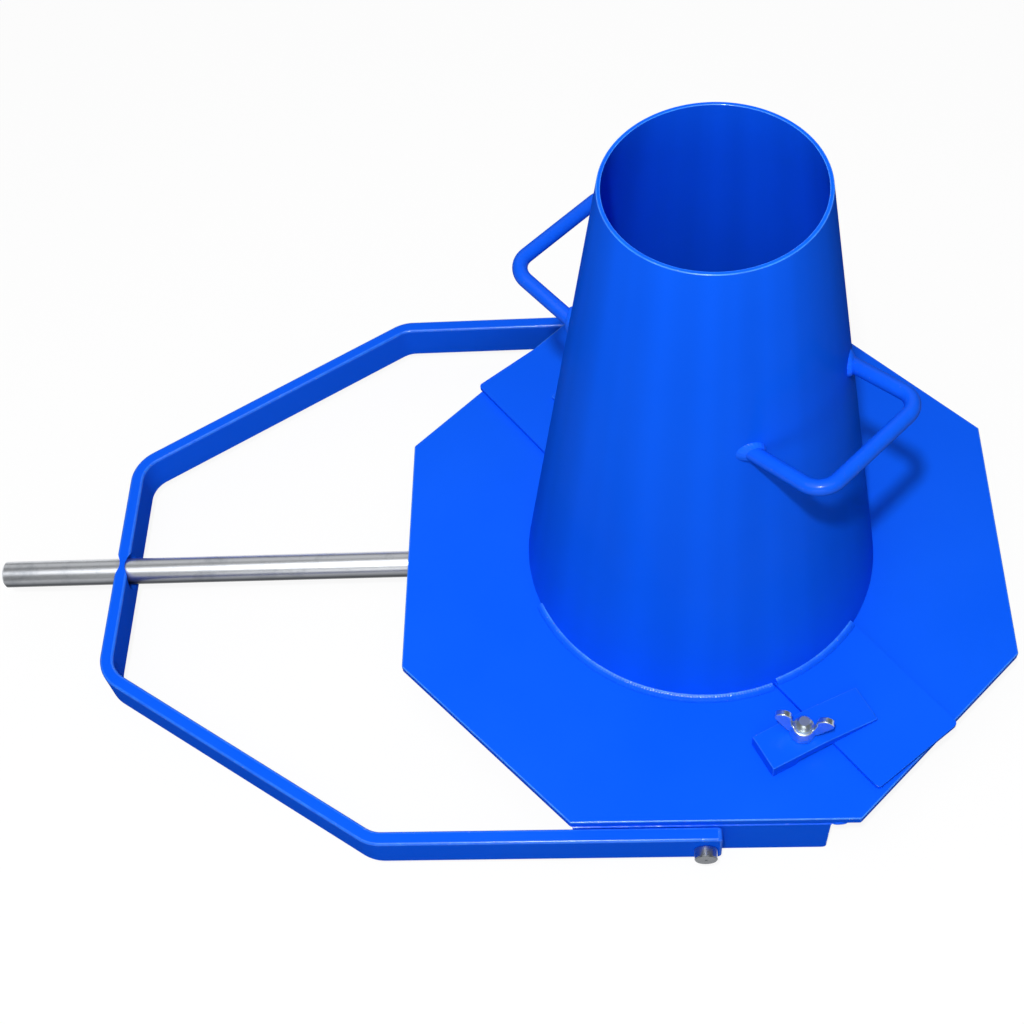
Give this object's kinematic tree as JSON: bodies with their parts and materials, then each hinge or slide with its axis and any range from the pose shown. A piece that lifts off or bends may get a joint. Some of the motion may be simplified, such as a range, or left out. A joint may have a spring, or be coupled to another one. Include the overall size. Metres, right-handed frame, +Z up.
{
  "type": "slump cone",
  "caption": "Steel slump cone mould with side handles and foot plates, clamped to an octagonal base plate whose swing-over bail carries the tamping rod.",
  "frame": {"origin": "on the mould's axis, at the top face of the base plate", "axes": "+X along the tamping rod, away from its free end; +Y from the front edge to the rear edge; +Z up along the mould"},
  "size_m": [0.605, 0.3806, 0.3413],
  "materials": {
    "blue_paint": "gloss enamel",
    "bright_rod": "bright drawn bar",
    "pin_steel": "turned steel",
    "zinc_plate": "bright zinc plating"
  },
  "bodies": {
    "base": {"base_plate": "blue_paint", "frame_strip_front": "blue_paint", "frame_strip_rear": "blue_paint", "bearer_left": "blue_paint", "bearer_right": "blue_paint", "frame_welds": "blue_paint", "pivot_pin_front": "pin_steel", "pivot_pin_rear": "pin_steel", "clamp_stud_front": "zinc_plate", "clamp_stud_rear": "zinc_plate"},
    "bail": {"bail_bar": "blue_paint"},
    "rod": {"tamping_rod": "bright_rod"},
    "mould": {"mould_shell": "blue_paint", "mould_seam_weld": "blue_paint", "foot_plate_front": "blue_paint", "foot_plate_rear": "blue_paint", "foot_weld_front": "blue_paint", "foot_weld_rear": "blue_paint", "handle_front": "blue_paint", "handle_rear": "blue_paint", "handle_welds_front": "blue_paint", "handle_welds_rear": "blue_paint"},
    "strap_front": {"clamp_strap_front": "blue_paint"},
    "strap_rear": {"clamp_strap_rear": "blue_paint"},
    "nut_front": {"wing_nut_front": "zinc_plate"},
    "nut_rear": {"wing_nut_rear": "zinc_plate"}
  },
  "joints": [
    {"name": "bail_swing", "type": "hinge", "parent": "base", "child": "bail", "pos_m": [-0.005, 0, -0.018], "axis": [0, 1, 0], "range_deg": [0, 180]},
    {"name": "rod_draw", "type": "slide", "parent": "base", "child": "rod", "axis": [-1, 0, 0], "range_m": [0, 0.54]},
    {"name": "mould_lift", "type": "slide", "parent": "base", "child": "mould", "axis": [0, 0, 1], "range_m": [0, 0.32]},
    {"name": "strap_front_swing", "type": "hinge", "parent": "base", "child": "strap_front", "pos_m": [0.0495, -0.129, 0], "axis": [0, 0, 1], "range_deg": [-79, 0]},
    {"name": "strap_rear_swing", "type": "hinge", "parent": "base", "child": "strap_rear", "pos_m": [-0.0495, 0.129, 0], "axis": [0, 0, 1], "range_deg": [-93, 0]},
    {"name": "nut_front_turn", "type": "hinge", "parent": "base", "child": "nut_front", "pos_m": [0.0495, -0.129, 0], "axis": [0, 0, 1], "continuous": true},
    {"name": "nut_rear_turn", "type": "hinge", "parent": "base", "child": "nut_rear", "pos_m": [-0.0495, 0.129, 0], "axis": [0, 0, 1], "continuous": true}
  ]
}
